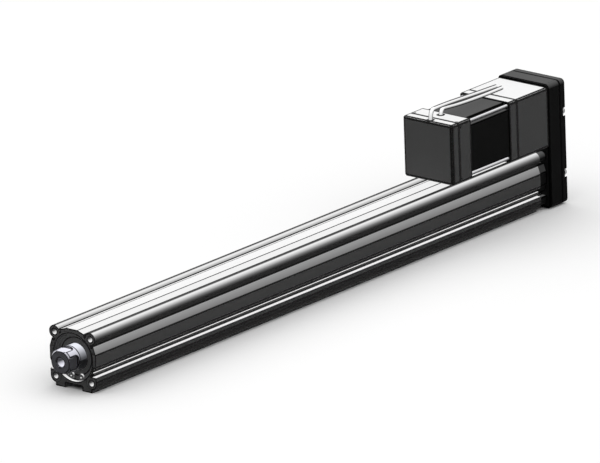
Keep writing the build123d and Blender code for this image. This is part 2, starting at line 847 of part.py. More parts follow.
pieces = {
    "body_tube": body_tube(),
    "rod_cover": rod_cover(),
    "rod_bush": rod_bush(),
    "rod_seal": rod_seal(),
    "retaining_ring": retaining_ring(),
    "bumpers": bumpers(),
    "piston_rod": piston_rod(),
    "rod_end_socket": rod_end_socket(),
    "piston": piston(),
    "magnet_ring": magnet_ring(),
    "rotation_stopper": rotation_stopper(),
    "screw_nut": screw_nut(),
    "nut_retainer": nut_retainer(),
    "screw_shaft": screw_shaft(),
    "wear_ring_holder": wear_ring_holder(),
    "wear_ring": wear_ring(),
    "screw_bearing_inner_ring": screw_bearing_inner_ring(),
    "screw_locknut": screw_locknut(),
    "screw_pulley": belt_pulley(drive_seat_r, 0.0),
    "bearing_housing": bearing_housing(),
    "screw_bearing_outer_ring": screw_bearing_outer_ring(),
    "bearing_stopper": bearing_stopper(),
    "return_box": return_box(),
    "return_cover": return_cover(),
    "return_cover_screws": return_cover_screws(),
    "housing_bolts": housing_bolts(),
    "motor_mount_screws": motor_mount_screws(),
    "timing_belt": timing_belt(),
    "motor_end_cap": motor_end_cap(),
    "motor_rear_bell": motor_rear_bell(),
    "motor_stack": motor_stack(),
    "motor_windings": motor_windings(),
    "motor_front_bell": motor_front_bell(),
    "motor_through_screws": motor_through_screws(),
    "motor_bearings": motor_bearings(),
    "motor_shaft": motor_shaft(),
    "rotor": rotor(),
    "encoder_board": encoder_board(),
    "encoder_disc": encoder_disc(),
    "motor_pulley": belt_pulley(motor_shaft_r, motor_height),
    "brake_housing": brake_housing(),
    "brake_coil": brake_coil(),
    "brake_armature": brake_armature(),
    "brake_disc": brake_disc(),
    "brake_plate": brake_plate(),
    "encoder_lead": lead("encoder_lead", encoder_lead_start, encoder_lead_route),
    "power_lead": lead("power_lead", power_lead_start, power_lead_route),
    "lead_grommets": lead_grommets(),
}

os.makedirs("parts", exist_ok=True)
for node, shape in pieces.items():
    solids = shape if isinstance(shape, list) else [shape]
    whole = Compound(label=node, children=solids) if len(solids) > 1 else solids[0]
    whole.label = node
    export_step(whole, f"parts/{node}.step")
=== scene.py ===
import math

import bmesh
import bpy
from mathutils import Matrix, Vector


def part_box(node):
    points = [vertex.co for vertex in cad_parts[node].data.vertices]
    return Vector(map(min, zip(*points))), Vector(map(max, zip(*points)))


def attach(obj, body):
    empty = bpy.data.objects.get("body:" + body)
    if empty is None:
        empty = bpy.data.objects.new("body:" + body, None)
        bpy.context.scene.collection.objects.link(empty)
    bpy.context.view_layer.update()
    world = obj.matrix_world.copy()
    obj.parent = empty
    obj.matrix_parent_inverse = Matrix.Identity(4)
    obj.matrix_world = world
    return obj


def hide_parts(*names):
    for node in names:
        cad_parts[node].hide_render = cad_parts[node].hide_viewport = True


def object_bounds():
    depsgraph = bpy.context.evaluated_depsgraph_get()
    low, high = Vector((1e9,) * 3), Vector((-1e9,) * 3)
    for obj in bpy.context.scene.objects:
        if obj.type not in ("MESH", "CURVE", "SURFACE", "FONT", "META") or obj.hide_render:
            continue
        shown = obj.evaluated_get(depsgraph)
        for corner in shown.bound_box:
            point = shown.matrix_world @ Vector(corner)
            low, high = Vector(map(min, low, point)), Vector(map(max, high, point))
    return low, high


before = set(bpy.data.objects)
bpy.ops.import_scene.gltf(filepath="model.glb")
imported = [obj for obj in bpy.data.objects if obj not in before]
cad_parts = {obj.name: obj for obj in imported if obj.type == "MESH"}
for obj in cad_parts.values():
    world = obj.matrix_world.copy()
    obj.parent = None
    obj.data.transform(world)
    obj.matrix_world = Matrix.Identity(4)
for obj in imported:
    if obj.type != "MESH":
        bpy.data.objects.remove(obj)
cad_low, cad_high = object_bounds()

scene = bpy.context.scene
mm = 0.001

# Camera
# A long lens stands far off at the photograph's angle, so that parallel edges stay almost parallel.
# Its aim is given in its own axes, measured from the rod's axis at the body's front face.
view_azimuth = math.radians(129.953)
view_elevation = math.radians(17.893)
view_roll = math.radians(-1.924)
aim_right = 166.2 * mm
aim_up = 92.25 * mm
view_distance = 15.861
level_right = Vector((math.cos(view_azimuth), math.sin(view_azimuth), 0))
toward_camera = Vector((
    math.sin(view_azimuth) * math.cos(view_elevation),
    -math.cos(view_azimuth) * math.cos(view_elevation),
    math.sin(view_elevation),
))
level_up = toward_camera.cross(level_right)
camera_right = math.cos(view_roll) * level_right + math.sin(view_roll) * level_up
camera_up = toward_camera.cross(camera_right)
camera_data = bpy.data.cameras.new("long_lens")
camera_data.lens = 1300
camera_data.sensor_width = 36
camera_data.clip_start = 1
camera_data.clip_end = 60
camera = bpy.data.objects.new("long_lens", camera_data)
camera.matrix_world = Matrix((camera_right, camera_up, toward_camera)).transposed().to_4x4()
camera.location = camera_right * aim_right + camera_up * aim_up + toward_camera * view_distance
scene.collection.objects.link(camera)
scene.camera = camera
scene.view_settings.view_transform = "Standard"

# Room
# A white floor under the feet and white surroundings. Both show white to the camera and in gloss,
# and give little light back to the sides of the object, which stay as dark as in the photograph.
floor_reach = 6.0
floor_gap = 0.1 * mm
floor_given_back = 0.025
room_given_back = 0.041


def grey(level):
    """Neutral colour."""
    return (level, level, level)


def add_node(tree, kind, **sockets):
    """Adds a shader node and sets its input sockets; an underscore in a name stands for a space."""
    node = tree.nodes.new(kind)
    for name, value in sockets.items():
        node.inputs[name.replace("_", " ")].default_value = value
    return node


def math_node(tree, operation, first, second=None, third=None):
    """Math node; each operand is a number or an output socket."""
    node = tree.nodes.new("ShaderNodeMath")
    node.operation = operation
    for i, operand in enumerate((first, second, third)):
        if operand is None:
            continue
        if isinstance(operand, (int, float)):
            node.inputs[i].default_value = operand
        else:
            tree.links.new(operand, node.inputs[i])
    return node.outputs[0]


def join_by_ray(tree, shown, given_back, end):
    """Uses one shader for camera, glossy and transmission rays, and another for the rest."""
    path = tree.nodes.new("ShaderNodeLightPath")
    seen = path.outputs["Is Camera Ray"]
    for ray in ("Is Glossy Ray", "Is Transmission Ray"):
        seen = math_node(tree, "MAXIMUM", seen, path.outputs[ray])
    choice = tree.nodes.new("ShaderNodeMixShader")
    tree.links.new(seen, choice.inputs["Fac"])
    tree.links.new(given_back.outputs[0], choice.inputs[1])
    tree.links.new(shown.outputs[0], choice.inputs[2])
    tree.links.new(choice.outputs[0], end.inputs["Surface"])


floor_mesh = bpy.data.meshes.new("floor")
floor_corners = [(-1, -1), (1, -1), (1, 1), (-1, 1)]
floor_level = cad_low.z - floor_gap
floor_mesh.from_pydata(
    [(x * floor_reach, y * floor_reach, floor_level) for x, y in floor_corners], [], [(0, 1, 2, 3)],
)
floor = bpy.data.objects.new("floor", floor_mesh)
scene.collection.objects.link(floor)
floor_white = bpy.data.materials.new("floor_white")
floor_white.use_nodes = True
tree = floor_white.node_tree
tree.nodes.clear()
join_by_ray(
    tree,
    add_node(tree, "ShaderNodeBsdfDiffuse", Color=(*grey(1.0), 1)),
    add_node(tree, "ShaderNodeBsdfDiffuse", Color=(*grey(floor_given_back), 1)),
    tree.nodes.new("ShaderNodeOutputMaterial"),
)
floor_mesh.materials.append(floor_white)

world = bpy.data.worlds.new("white_room")
scene.world = world
world.use_nodes = True
tree = world.node_tree
tree.nodes.clear()
join_by_ray(
    tree,
    add_node(tree, "ShaderNodeBackground", Color=(*grey(1.0), 1), Strength=1.0),
    add_node(tree, "ShaderNodeBackground", Color=(*grey(1.0), 1), Strength=room_given_back),
    tree.nodes.new("ShaderNodeOutputWorld"),
)

# Lamps
# A lamp overhead and a weak one from the right light the object alone, without shadows. A very wide
# one lights the floor alone and casts the object's shadow there. The leads have one of their own.


def sun_lamp(name, strength, spread, turn, linked, link_state, shadow=False):
    """A sun lamp that lights the linked objects alone (INCLUDE) or all but them (EXCLUDE)."""
    lamp = bpy.data.lights.new(name, "SUN")
    lamp.energy = strength
    lamp.angle = math.radians(spread)
    lamp.use_shadow = shadow
    holder = bpy.data.objects.new(name, lamp)
    holder.rotation_euler = turn
    scene.collection.objects.link(holder)
    receivers = bpy.data.collections.new(name + "_lights")
    for piece in linked:
        receivers.objects.link(piece)
    for receiver in receivers.collection_objects:
        receiver.light_linking.link_state = link_state
    holder.light_linking.receiver_collection = receivers


straight_down = (0, 0, 0)
level_from_right = (math.radians(90), 0, 0)
sun_lamp("overhead", 3.3, 2, straight_down, [floor], "EXCLUDE")
sun_lamp("from_the_right", 0.09, 2, level_from_right, [floor], "EXCLUDE")
sun_lamp("floor_lamp", 3.04, 130, straight_down, [floor], "INCLUDE", shadow=True)

# Leads
# Two round leads in a pale smooth sheath come up out of the motor through rubber grommets, bend
# over and lie back along its top. Both are cut off square.
lead_diameter = 3.3 * mm
lead_routes = {
    "encoder_lead": [
        (-418.3, 0.7, 68.7), (-418.3, 0.7, 79.0), (-426.1, 0.7, 79.3), (-440.5, 0.5, 79.1),
        (-459.5, 0.3, 78.2), (-478.5, 0.2, 77.4), (-496.9, 0.0, 76.8),
    ],
    "power_lead": [
        (-432.3, -0.8, 68.7), (-432.3, -0.8, 76.1), (-439.6, -0.8, 75.6), (-452.5, -0.7, 74.5),
        (-470.5, -0.9, 73.7), (-488.0, -0.8, 73.4), (-504.9, -0.9, 73.5),
    ],
}
# Near black for edge lines and outlines, and for the painted shade laid over the body
line_and_shade_black = grey(0.01)
bounced_grey = grey(0.05)
gloss_spread = 0.06


def new_group(name, inputs, outputs):
    """Empty shader group with float inputs and outputs, and its two end nodes."""
    group = bpy.data.node_groups.new(name, "ShaderNodeTree")
    for label, value in inputs:
        socket = group.interface.new_socket(name=label, in_out="INPUT", socket_type="NodeSocketFloat")
        socket.default_value = value
    for label in outputs:
        group.interface.new_socket(name=label, in_out="OUTPUT", socket_type="NodeSocketFloat")
    return group, group.nodes.new("NodeGroupInput"), group.nodes.new("NodeGroupOutput")


def noise_group(name, output, scale, detail, roughness):
    """Group with an even noise from 0 to 1, at a scale that can be set."""
    group, given, result = new_group(name, [("Scale", scale)], [output])
    place = group.nodes.new("ShaderNodeTexCoord")
    noise = add_node(group, "ShaderNodeTexNoise", Detail=detail, Roughness=roughness)
    group.links.new(place.outputs["Object"], noise.inputs["Vector"])
    group.links.new(given.outputs["Scale"], noise.inputs["Scale"])
    group.links.new(noise.outputs["Fac"], result.inputs[output])
    return group


# Fine grain: an even, small-scale unevenness, 0 to 1
fine_grain = noise_group("fine_grain", "Grain", 900.0, 3.0, 0.6)

# Handling: wide, soft patches where a surface is a little more or less polished, 0 to 1
handling = noise_group("handling", "Patch", 25.0, 2.0, 0.5)

# Sharp edge: a narrow line along each edge and seam, 1 on the edge and 0 away from it. It shows
# where a normal that is rounded over the reach departs from the face's own.
face_agrees = 0.9999
face_departs = 0.999
sharp_edge, given, result = new_group("sharp_edge", [("Reach", 1.5 * mm)], ["Line"])
rounded = sharp_edge.nodes.new("ShaderNodeBevel")
rounded.samples = 32
face = sharp_edge.nodes.new("ShaderNodeNewGeometry")
sharp_edge.links.new(given.outputs["Reach"], rounded.inputs["Radius"])
agree = sharp_edge.nodes.new("ShaderNodeVectorMath")
agree.operation = "DOT_PRODUCT"
sharp_edge.links.new(rounded.outputs["Normal"], agree.inputs[0])
sharp_edge.links.new(face.outputs["Normal"], agree.inputs[1])
ramp = add_node(sharp_edge, "ShaderNodeMapRange", From_Min=face_agrees, From_Max=face_departs)
sharp_edge.links.new(agree.outputs["Value"], ramp.inputs["Value"])
sharp_edge.links.new(ramp.outputs["Result"], result.inputs["Line"])


def use_group(tree, group, **sockets):
    """Places a shader group in a material and sets its inputs."""
    node = tree.nodes.new("ShaderNodeGroup")
    node.node_tree = group
    for name, value in sockets.items():
        node.inputs[name.replace("_", " ")].default_value = value
    return node


def new_material(name, roughness, metallic=0.0, specular=0.5):
    """Material with a Principled BSDF; returns the material, its tree and the shader."""
    material = bpy.data.materials.new(name)
    material.use_nodes = True
    shader = material.node_tree.nodes["Principled BSDF"]
    shader.inputs["Roughness"].default_value = roughness
    shader.inputs["Metallic"].default_value = metallic
    shader.inputs["Specular IOR Level"].default_value = specular
    return material, material.node_tree, shader


def colour_over(tree, value, under, over):
    """Lays a colour over another one, or over a colour socket, by a value from 0 to 1."""
    blend = tree.nodes.new("ShaderNodeMix")
    blend.data_type = "RGBA"
    tree.links.new(value, blend.inputs["Factor"])
    if isinstance(under, tuple):
        blend.inputs["A"].default_value = (*under, 1)
    else:
        tree.links.new(under, blend.inputs["A"])
    blend.inputs["B"].default_value = (*over, 1)
    return blend.outputs["Result"]


def roughness_around(tree, shader, value, middle, spread):
    """Drives the shader's roughness to both sides of a number by a value from 0 to 1."""
    ramp = add_node(tree, "ShaderNodeMapRange", To_Min=middle - spread, To_Max=middle + spread)
    tree.links.new(value, ramp.inputs["Value"])
    tree.links.new(ramp.outputs["Result"], shader.inputs["Roughness"])


def calm_bounce(tree, colour):
    """Darkens a colour for light that bounces between surfaces, so that the sides stay even."""
    path = tree.nodes.new("ShaderNodeLightPath")
    return colour_over(tree, path.outputs["Is Diffuse Ray"], colour, bounced_grey)


def rim_line(tree, start, full):
    """Value that rises to 1 where a round surface turns away from the eye."""
    turned_away = add_node(tree, "ShaderNodeLayerWeight", Blend=0.5)
    ramp = add_node(tree, "ShaderNodeMapRange", From_Min=start, From_Max=full)
    tree.links.new(turned_away.outputs["Facing"], ramp.inputs["Value"])
    return ramp.outputs["Result"]


def relief(tree, shader, height, depth):
    """Feeds a height value to the shader's normal as a bump of the given depth."""
    bump = add_node(tree, "ShaderNodeBump", Strength=1.0, Distance=depth)
    tree.links.new(height, bump.inputs["Height"])
    tree.links.new(bump.outputs["Normal"], shader.inputs["Normal"])


def paint(names, material):
    """Gives a material to CAD nodes that stay as they are."""
    for name in names:
        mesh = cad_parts[name].data
        mesh.materials.clear()
        mesh.materials.append(material)


def grained_material(name, low, high, roughness, metallic=0.0, specular=0.5, scale=900.0,
                     depth=0.01 * mm, line=None, rim=None, reach=1.5 * mm):
    """Plain finish with fine grain in colour, gloss and relief, and a line along its edges."""
    material, tree, shader = new_material(name, roughness, metallic, specular)
    grain = use_group(tree, fine_grain, Scale=scale)
    patch = use_group(tree, handling)
    colour = colour_over(tree, grain.outputs["Grain"], low, high)
    if line is not None:
        edge = use_group(tree, sharp_edge, Reach=reach)
        colour = colour_over(tree, edge.outputs["Line"], colour, line)
    if rim is not None:
        colour = colour_over(tree, rim_line(tree, *rim), colour, line_and_shade_black)
    tree.links.new(calm_bounce(tree, colour), shader.inputs["Base Color"])
    roughness_around(tree, shader, patch.outputs["Patch"], roughness, gloss_spread)
    relief(tree, shader, grain.outputs["Grain"], depth)
    return material


sheath_vinyl = grained_material("sheath_vinyl", grey(0.8), grey(0.88), 0.38, specular=0.15,
                                scale=1400.0, depth=0.004 * mm, rim=(0.38, 0.5))
sheaths = []
for lead_name, route in lead_routes.items():
    curve = bpy.data.curves.new(lead_name + "_sheath", "CURVE")
    curve.dimensions = "3D"
    curve.bevel_depth = lead_diameter / 2
    curve.bevel_resolution = 8
    curve.resolution_u = 24
    curve.use_fill_caps = True
    spline = curve.splines.new("NURBS")
    spline.points.add(len(route) - 1)
    for point, (x, y, z) in zip(spline.points, route):
        point.co = (x * mm, y * mm, z * mm, 1)
    spline.order_u = 3
    spline.use_endpoint_u = True
    curve.materials.append(sheath_vinyl)
    sheath = bpy.data.objects.new(lead_name + "_sheath", curve)
    scene.collection.objects.link(sheath)
    sheaths.append(sheath)
    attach(sheath, "body")
    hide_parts(lead_name)
grommet_rubber = grained_material("grommet_rubber", grey(0.02), grey(0.035), 0.55, specular=0.2)
paint(["lead_grommets"], grommet_rubber)

# Lamp of the leads: shines from the camera's side, so that they show white where they rise and bend
sun_lamp("lead_fill", 2.4, 20, camera.matrix_world.to_euler(), sheaths, "INCLUDE")

# Extruded body
# One aluminium extrusion, clear anodised, with fine die lines along its length. Its ends are sawn
# and milled flat, and tapped in the four corner bosses.
boss_place = 17 * mm
boss_tolerance = 0.13 * mm
slot_across = 19.26 * mm
slot_up = -6.66 * mm
slot_sill = -1.8 * mm
groove_tolerance = 1.2 * mm
groove_end = 18.3 * mm
# How dark the painted shade on the upper side facets gets at their lower edge
facet_shade_strength = 0.5
streak_squeeze = 0.006
anodised_roughness = 0.45
anodised_gloss_spread = 0.08


def own_axes(tree, folded=""):
    """The object's own X, Y and Z at a point; those named in folded count without their sign."""
    place = tree.nodes.new("ShaderNodeTexCoord")
    axes = tree.nodes.new("ShaderNodeSeparateXYZ")
    tree.links.new(place.outputs["Object"], axes.inputs["Vector"])
    values = {axis: axes.outputs[axis] for axis in "XYZ"}
    for axis in folded:
        values[axis] = math_node(tree, "ABSOLUTE", values[axis])
    return values


def off_line(tree, point, across, up):
    """Distance of a point from a line along X that lies this far across and up."""
    aside = math_node(tree, "SUBTRACT", point["Y"], across)
    above = math_node(tree, "SUBTRACT", point["Z"], up)
    aside_squared = math_node(tree, "MULTIPLY", aside, aside)
    return math_node(tree, "SQRT", math_node(tree, "MULTIPLY_ADD", above, above, aside_squared))


# Long streaks: die or draw lines that run along X, 0 to 1
long_streaks, given, result = new_group("long_streaks", [("Lines", 700.0)], ["Streak"])
place = long_streaks.nodes.new("ShaderNodeTexCoord")
squeeze = long_streaks.nodes.new("ShaderNodeVectorMath")
squeeze.operation = "MULTIPLY"
squeeze.inputs[1].default_value = (streak_squeeze, 1, 1)
noise = add_node(long_streaks, "ShaderNodeTexNoise", Detail=4.0, Roughness=0.65)
long_streaks.links.new(place.outputs["Object"], squeeze.inputs[0])
long_streaks.links.new(squeeze.outputs["Vector"], noise.inputs["Vector"])
long_streaks.links.new(given.outputs["Lines"], noise.inputs["Scale"])
long_streaks.links.new(noise.outputs["Fac"], result.inputs["Streak"])

# Round boss: on the four corner bosses, 1 on the round skin and 1 in the tapped hole, 0 elsewhere
round_boss, given, result = new_group(
    "round_boss", [("Radius", 5 * mm), ("Hole", 2.15 * mm)], ["Mask", "In Hole"],
)
from_axis = off_line(round_boss, own_axes(round_boss, folded="YZ"), boss_place, boss_place)
on_skin = math_node(round_boss, "COMPARE", from_axis, given.outputs["Radius"], boss_tolerance)
in_hole = math_node(round_boss, "LESS_THAN", from_axis, given.outputs["Hole"])
round_boss.links.new(on_skin, result.inputs["Mask"])
round_boss.links.new(in_hole, result.inputs["In Hole"])

# Slot inside: 1 on the deep walls of the two sensor slots above their sills, which no light reaches
slot_inside, given, result = new_group("slot_inside", [("Radius", 1.95 * mm)], ["Mask"])
point = own_axes(slot_inside, folded="Y")
from_axis = off_line(slot_inside, point, slot_across, slot_up)
near_axis = math_node(slot_inside, "LESS_THAN", from_axis, given.outputs["Radius"])
above_axis = math_node(slot_inside, "SUBTRACT", point["Z"], slot_up)
above_sill = math_node(slot_inside, "GREATER_THAN", above_axis, slot_sill)
slot_inside.links.new(math_node(slot_inside, "MULTIPLY", near_axis, above_sill), result.inputs["Mask"])

# Round falloff: how a round skin fades from lit, facing up (1), to dark, facing down (0)
falloff_steps = [(0.35, 0.03), (0.48, 0.3), (0.6, 0.27), (0.725, 0.42), (0.84, 0.76), (0.94, 1.0)]
round_falloff, given, result = new_group("round_falloff", [], ["Shade"])
face = round_falloff.nodes.new("ShaderNodeNewGeometry")
axes = round_falloff.nodes.new("ShaderNodeSeparateXYZ")
round_falloff.links.new(face.outputs["Normal"], axes.inputs["Vector"])
facing_up = math_node(round_falloff, "MULTIPLY_ADD", axes.outputs["Z"], 0.5, 0.5)
fade = round_falloff.nodes.new("ShaderNodeValToRGB")
while len(fade.color_ramp.elements) < len(falloff_steps):
    fade.color_ramp.elements.new(0.5)
for element, (position, shade) in zip(fade.color_ramp.elements, falloff_steps):
    element.position = position
    element.color = (*grey(shade), 1)
round_falloff.links.new(facing_up, fade.inputs["Fac"])
round_falloff.links.new(fade.outputs["Color"], result.inputs["Shade"])

# Seam: 1 within a narrow reach of one edge of the profile, on both sides of the body
seam_line, given, result = new_group(
    "seam_line", [("Across", 0.0), ("Up", 0.0), ("Width", 0.45 * mm)], ["Line"],
)
point = own_axes(seam_line, folded="Y")
from_edge = off_line(seam_line, point, given.outputs["Across"], given.outputs["Up"])
near_edge = math_node(seam_line, "LESS_THAN", from_edge, given.outputs["Width"])
seam_line.links.new(near_edge, result.inputs["Line"])

# Groove floor: 1 on the slanted floor of the grooves beside the corner bosses, which lie in shade
groove_floor, given, result = new_group(
    "groove_floor", [("Reach", 28.6 * mm), ("Farthest", groove_end)], ["Mask"],
)
point = own_axes(groove_floor, folded="YZ")
slanted = math_node(groove_floor, "ADD", point["Y"], point["Z"])
on_floor = math_node(groove_floor, "COMPARE", slanted, given.outputs["Reach"], groove_tolerance)
farther = math_node(groove_floor, "MAXIMUM", point["Y"], point["Z"])
inside = math_node(groove_floor, "LESS_THAN", farther, given.outputs["Farthest"])
groove_floor.links.new(math_node(groove_floor, "MULTIPLY", on_floor, inside), result.inputs["Mask"])

# Facet painted shade: 1 at the lower edge of each upper side facet, 0 at its upper edge. It is painted
# shade that darkens the flat facet downward, standing in for the slight outward bowing that the mesh
# lacks
facet_painted_shade, given, result = new_group(
    "facet_painted_shade", [("Lower", 5.4 * mm), ("Upper", 11.9 * mm)], ["Shade"],
)
point = own_axes(facet_painted_shade, folded="Y")
far_out = math_node(facet_painted_shade, "GREATER_THAN", point["Y"], groove_end)
above_flat = math_node(facet_painted_shade, "GREATER_THAN", point["Z"], given.outputs["Lower"])
on_facet = math_node(facet_painted_shade, "MULTIPLY", far_out, above_flat)
ramp = add_node(facet_painted_shade, "ShaderNodeMapRange", To_Min=1.0, To_Max=0.0)
facet_painted_shade.links.new(point["Z"], ramp.inputs["Value"])
facet_painted_shade.links.new(given.outputs["Lower"], ramp.inputs["From Min"])
facet_painted_shade.links.new(given.outputs["Upper"], ramp.inputs["From Max"])
shade = math_node(facet_painted_shade, "MULTIPLY", ramp.outputs["Result"], on_facet)
facet_painted_shade.links.new(shade, result.inputs["Shade"])

# Edges of the profile: how far each lies across and up from the axis, and how far its line reaches,
# in millimetres. On open edges the line outlines the edge; in the narrow crevices beside the bosses it
# is painted shade
profile_edges = [
    (22.0, 5.4, 0.65),
    (19.7, 11.9, 0.45),
    (18.0, 11.2, 1.45),
    (11.9, 19.7, 1.1),
    (5.4, 22.0, 0.5),
    (22.0, -4.1, 0.65),
    (21.23, -6.04, 0.3),
    (20.27, -8.46, 0.3),
    (19.5, -10.4, 0.55),
    (22.0, -12.0, 0.55),
    (22.0, -15.3, 0.55),
    (17.3, -21.9, 0.5),
    (17.3, -24.5, 0.5),
]

# Anodised skin: streaks along X, with painted shade over them where the upper side facets turn down,
# where the bosses fall off, on the groove floors and in the slots, and dark lines along the edges
anodised_body, tree, shader = new_material("anodised_body", anodised_roughness, specular=0.08)
streak = use_group(tree, long_streaks, Lines=700.0).outputs["Streak"]
colour = colour_over(tree, streak, grey(0.82), grey(0.9))
# Painted shade: the upper side facets darken toward their lower edges
facet_shade = math_node(tree, "MULTIPLY", use_group(tree, facet_painted_shade).outputs["Shade"], facet_shade_strength)
colour = colour_over(tree, facet_shade, colour, line_and_shade_black)
boss = use_group(tree, round_boss)
# Painted shade: the bosses' round skin darkens as it turns from facing up to facing down
unlit = math_node(tree, "SUBTRACT", 1.0, use_group(tree, round_falloff).outputs["Shade"])
unlit_boss = math_node(tree, "MULTIPLY", unlit, boss.outputs["Mask"])
colour = colour_over(tree, unlit_boss, colour, line_and_shade_black)
face = tree.nodes.new("ShaderNodeNewGeometry")
axes = tree.nodes.new("ShaderNodeSeparateXYZ")
tree.links.new(face.outputs["True Normal"], axes.inputs["Vector"])
along = math_node(tree, "ABSOLUTE", axes.outputs["X"])
end_face = math_node(tree, "GREATER_THAN", along, 0.5)
# Dark lines and painted shade: outlines along the end faces' edges and the profile's edges, painted
# shade in the profile's crevices and on the groove floors, kept out of the tapped holes
lines_and_shade = math_node(tree, "MULTIPLY", use_group(tree, sharp_edge).outputs["Line"], end_face)
for across, up, width in profile_edges:
    seam = use_group(tree, seam_line, Across=across * mm, Up=up * mm, Width=width * mm)
    lines_and_shade = math_node(tree, "MAXIMUM", lines_and_shade, seam.outputs["Line"])
side_face = math_node(tree, "SUBTRACT", 1.0, end_face)
shaded = math_node(tree, "MULTIPLY", use_group(tree, groove_floor).outputs["Mask"], side_face)
lines_and_shade = math_node(tree, "MAXIMUM", lines_and_shade, shaded)
off_the_hole = math_node(tree, "SUBTRACT", 1.0, boss.outputs["In Hole"])
colour = colour_over(tree, math_node(tree, "MULTIPLY", lines_and_shade, off_the_hole), colour, line_and_shade_black)
boss_rim = math_node(tree, "MULTIPLY", rim_line(tree, 0.5, 0.62), boss.outputs["Mask"])
colour = colour_over(tree, boss_rim, colour, line_and_shade_black)
# Painted shade on the deep walls of the sensor slots
colour = colour_over(tree, use_group(tree, slot_inside).outputs["Mask"], colour, line_and_shade_black)
tree.links.new(calm_bounce(tree, colour), shader.inputs["Base Color"])
roughness_around(tree, shader, streak, anodised_roughness, anodised_gloss_spread)
relief(tree, shader, streak, 0.003 * mm)
paint(["body_tube"], anodised_body)

# Rod cover, seal and clip in the front recess
# The cover is turned aluminium with a light grey wiper seal in it, and a plain steel spring clip
# keeps it in. The piston and two small inner parts are turned from the same aluminium.
cover_aluminium = grained_material("cover_aluminium", grey(0.74), grey(0.84), 0.4, specular=0.1,
                                   line=line_and_shade_black, reach=0.8 * mm)
paint(["rod_cover", "piston", "wear_ring_holder", "encoder_disc"], cover_aluminium)
seal_polymer = grained_material("seal_polymer", grey(0.7), grey(0.78), 0.55, specular=0.1,
                                line=line_and_shade_black, reach=0.8 * mm)
paint(["rod_seal"], seal_polymer)
clip_steel = grained_material("clip_steel", grey(0.84), grey(0.9), 0.35, specular=0.15)
paint(["retaining_ring"], clip_steel)

# Guides and stops inside the body
# The rod's bush, the keyed ring and the screw's wear ring are a filled polymer. The stops at both
# ends of travel are urethane.
bearing_polymer = grained_material("bearing_polymer", (0.2, 0.15, 0.1), (0.28, 0.22, 0.16), 0.5)
paint(["rod_bush", "rotation_stopper", "wear_ring"], bearing_polymer)
urethane = grained_material("urethane", (0.4, 0.2, 0.06), (0.46, 0.25, 0.09), 0.45)
paint(["bumpers"], urethane)

# Rod and rod end
# The rod is steel, hard chromed and ground. Its end is nickel plated, with four wrench flats and a
# tapped hole.
bluish_black = (0.01, 0.01, 0.015)
chromed_rod = grained_material("chromed_rod", (0.86, 0.88, 0.97), (0.92, 0.94, 1.0), 0.25,
                               specular=0.15, line=bluish_black, rim=(0.8, 0.9), reach=0.8 * mm)
# Painted shade: the rod turns toward a dark blue-grey as its skin turns from facing up to facing down
tree = chromed_rod.node_tree
base_colour = tree.nodes["Principled BSDF"].inputs["Base Color"]
unlit = math_node(tree, "SUBTRACT", 1.0, use_group(tree, round_falloff).outputs["Shade"])
rod_painted_shade = colour_over(tree, unlit, base_colour.links[0].from_socket, (0.3, 0.31, 0.34))
tree.links.new(rod_painted_shade, base_colour)
paint(["piston_rod"], chromed_rod)
nickel = grained_material("nickel", (0.86, 0.86, 0.97), (0.92, 0.92, 1.0), 0.25, specular=0.1,
                          line=bluish_black, reach=0.9 * mm)


crease_angle = math.radians(30)


def add_piece(name, shape, material, body, replaced):
    """Turns a bmesh into a piece that moves with a body and stands for a CAD node."""
    bmesh.ops.recalc_face_normals(shape, faces=shape.faces)
    mesh = bpy.data.meshes.new(name)
    shape.to_mesh(mesh)
    shape.free()
    mesh.shade_smooth()
    mesh.set_sharp_from_angle(angle=crease_angle)
    mesh.materials.append(material)
    made = bpy.data.objects.new(name, mesh)
    scene.collection.objects.link(made)
    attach(made, body)
    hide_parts(replaced)


def round_outline(radius):
    """Circle, as a radius for each angle."""
    return lambda angle: radius


def flatted_outline(radius, half_flat, flat_reach):
    """Circle with four flats; each flat reaches as far to its sides as flat_reach allows."""
    def outline(angle):
        toward, aside = sorted((abs(math.cos(angle)), abs(math.sin(angle))), reverse=True)
        on_flat = half_flat / toward
        return on_flat if on_flat < radius and on_flat * aside <= flat_reach else radius
    return outline


def lathe_along_x(shape, y, z, rings, count):
    """Skins a row of (station, outline) rings about an axis along X, and closes both ends."""
    rows = []
    for station, outline in rings:
        row = []
        for step in range(count):
            angle = 2 * math.pi * step / count
            radius = outline(angle)
            across = y + radius * math.cos(angle)
            up = z + radius * math.sin(angle)
            row.append(shape.verts.new((station, across, up)))
        rows.append(row)
    for row, following in zip(rows, rows[1:]):
        for step in range(count):
            after = (step + 1) % count
            shape.faces.new((row[step], row[after], following[after], following[step]))
    shape.faces.new(rows[0][::-1])
    shape.faces.new(rows[-1])


rod_end_low, rod_end_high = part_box("rod_end_socket")
outer_r = rod_end_high.z
disc_r = 8.6 * mm
chamfer = 1.4 * mm
half_flat = 8.5 * mm
flat_length = 9.8 * mm
flat_corner = 3.5 * mm
corner_steps = 14
bore_r = 3.4 * mm
bore_mouth = 0.6 * mm
bore_depth = 13 * mm
drill_depth = 14.2 * mm
drill_tip = 0.3 * mm
inner_r = 7.6 * mm
inner_chamfer = 0.8 * mm
shoulder = 3.0 * mm
shoulder_edge = 0.15 * mm
rod_end_sides = 192
flat_rear = rod_end_high.x - flat_length
half_chord = math.sqrt(outer_r ** 2 - half_flat ** 2)
rings = [
    (rod_end_low.x, round_outline(inner_r - inner_chamfer)),
    (rod_end_low.x + inner_chamfer, round_outline(inner_r)),
    (shoulder, round_outline(inner_r)),
    (shoulder, round_outline(outer_r - shoulder_edge)),
    (shoulder + shoulder_edge, round_outline(outer_r)),
    (flat_rear, round_outline(outer_r)),
]
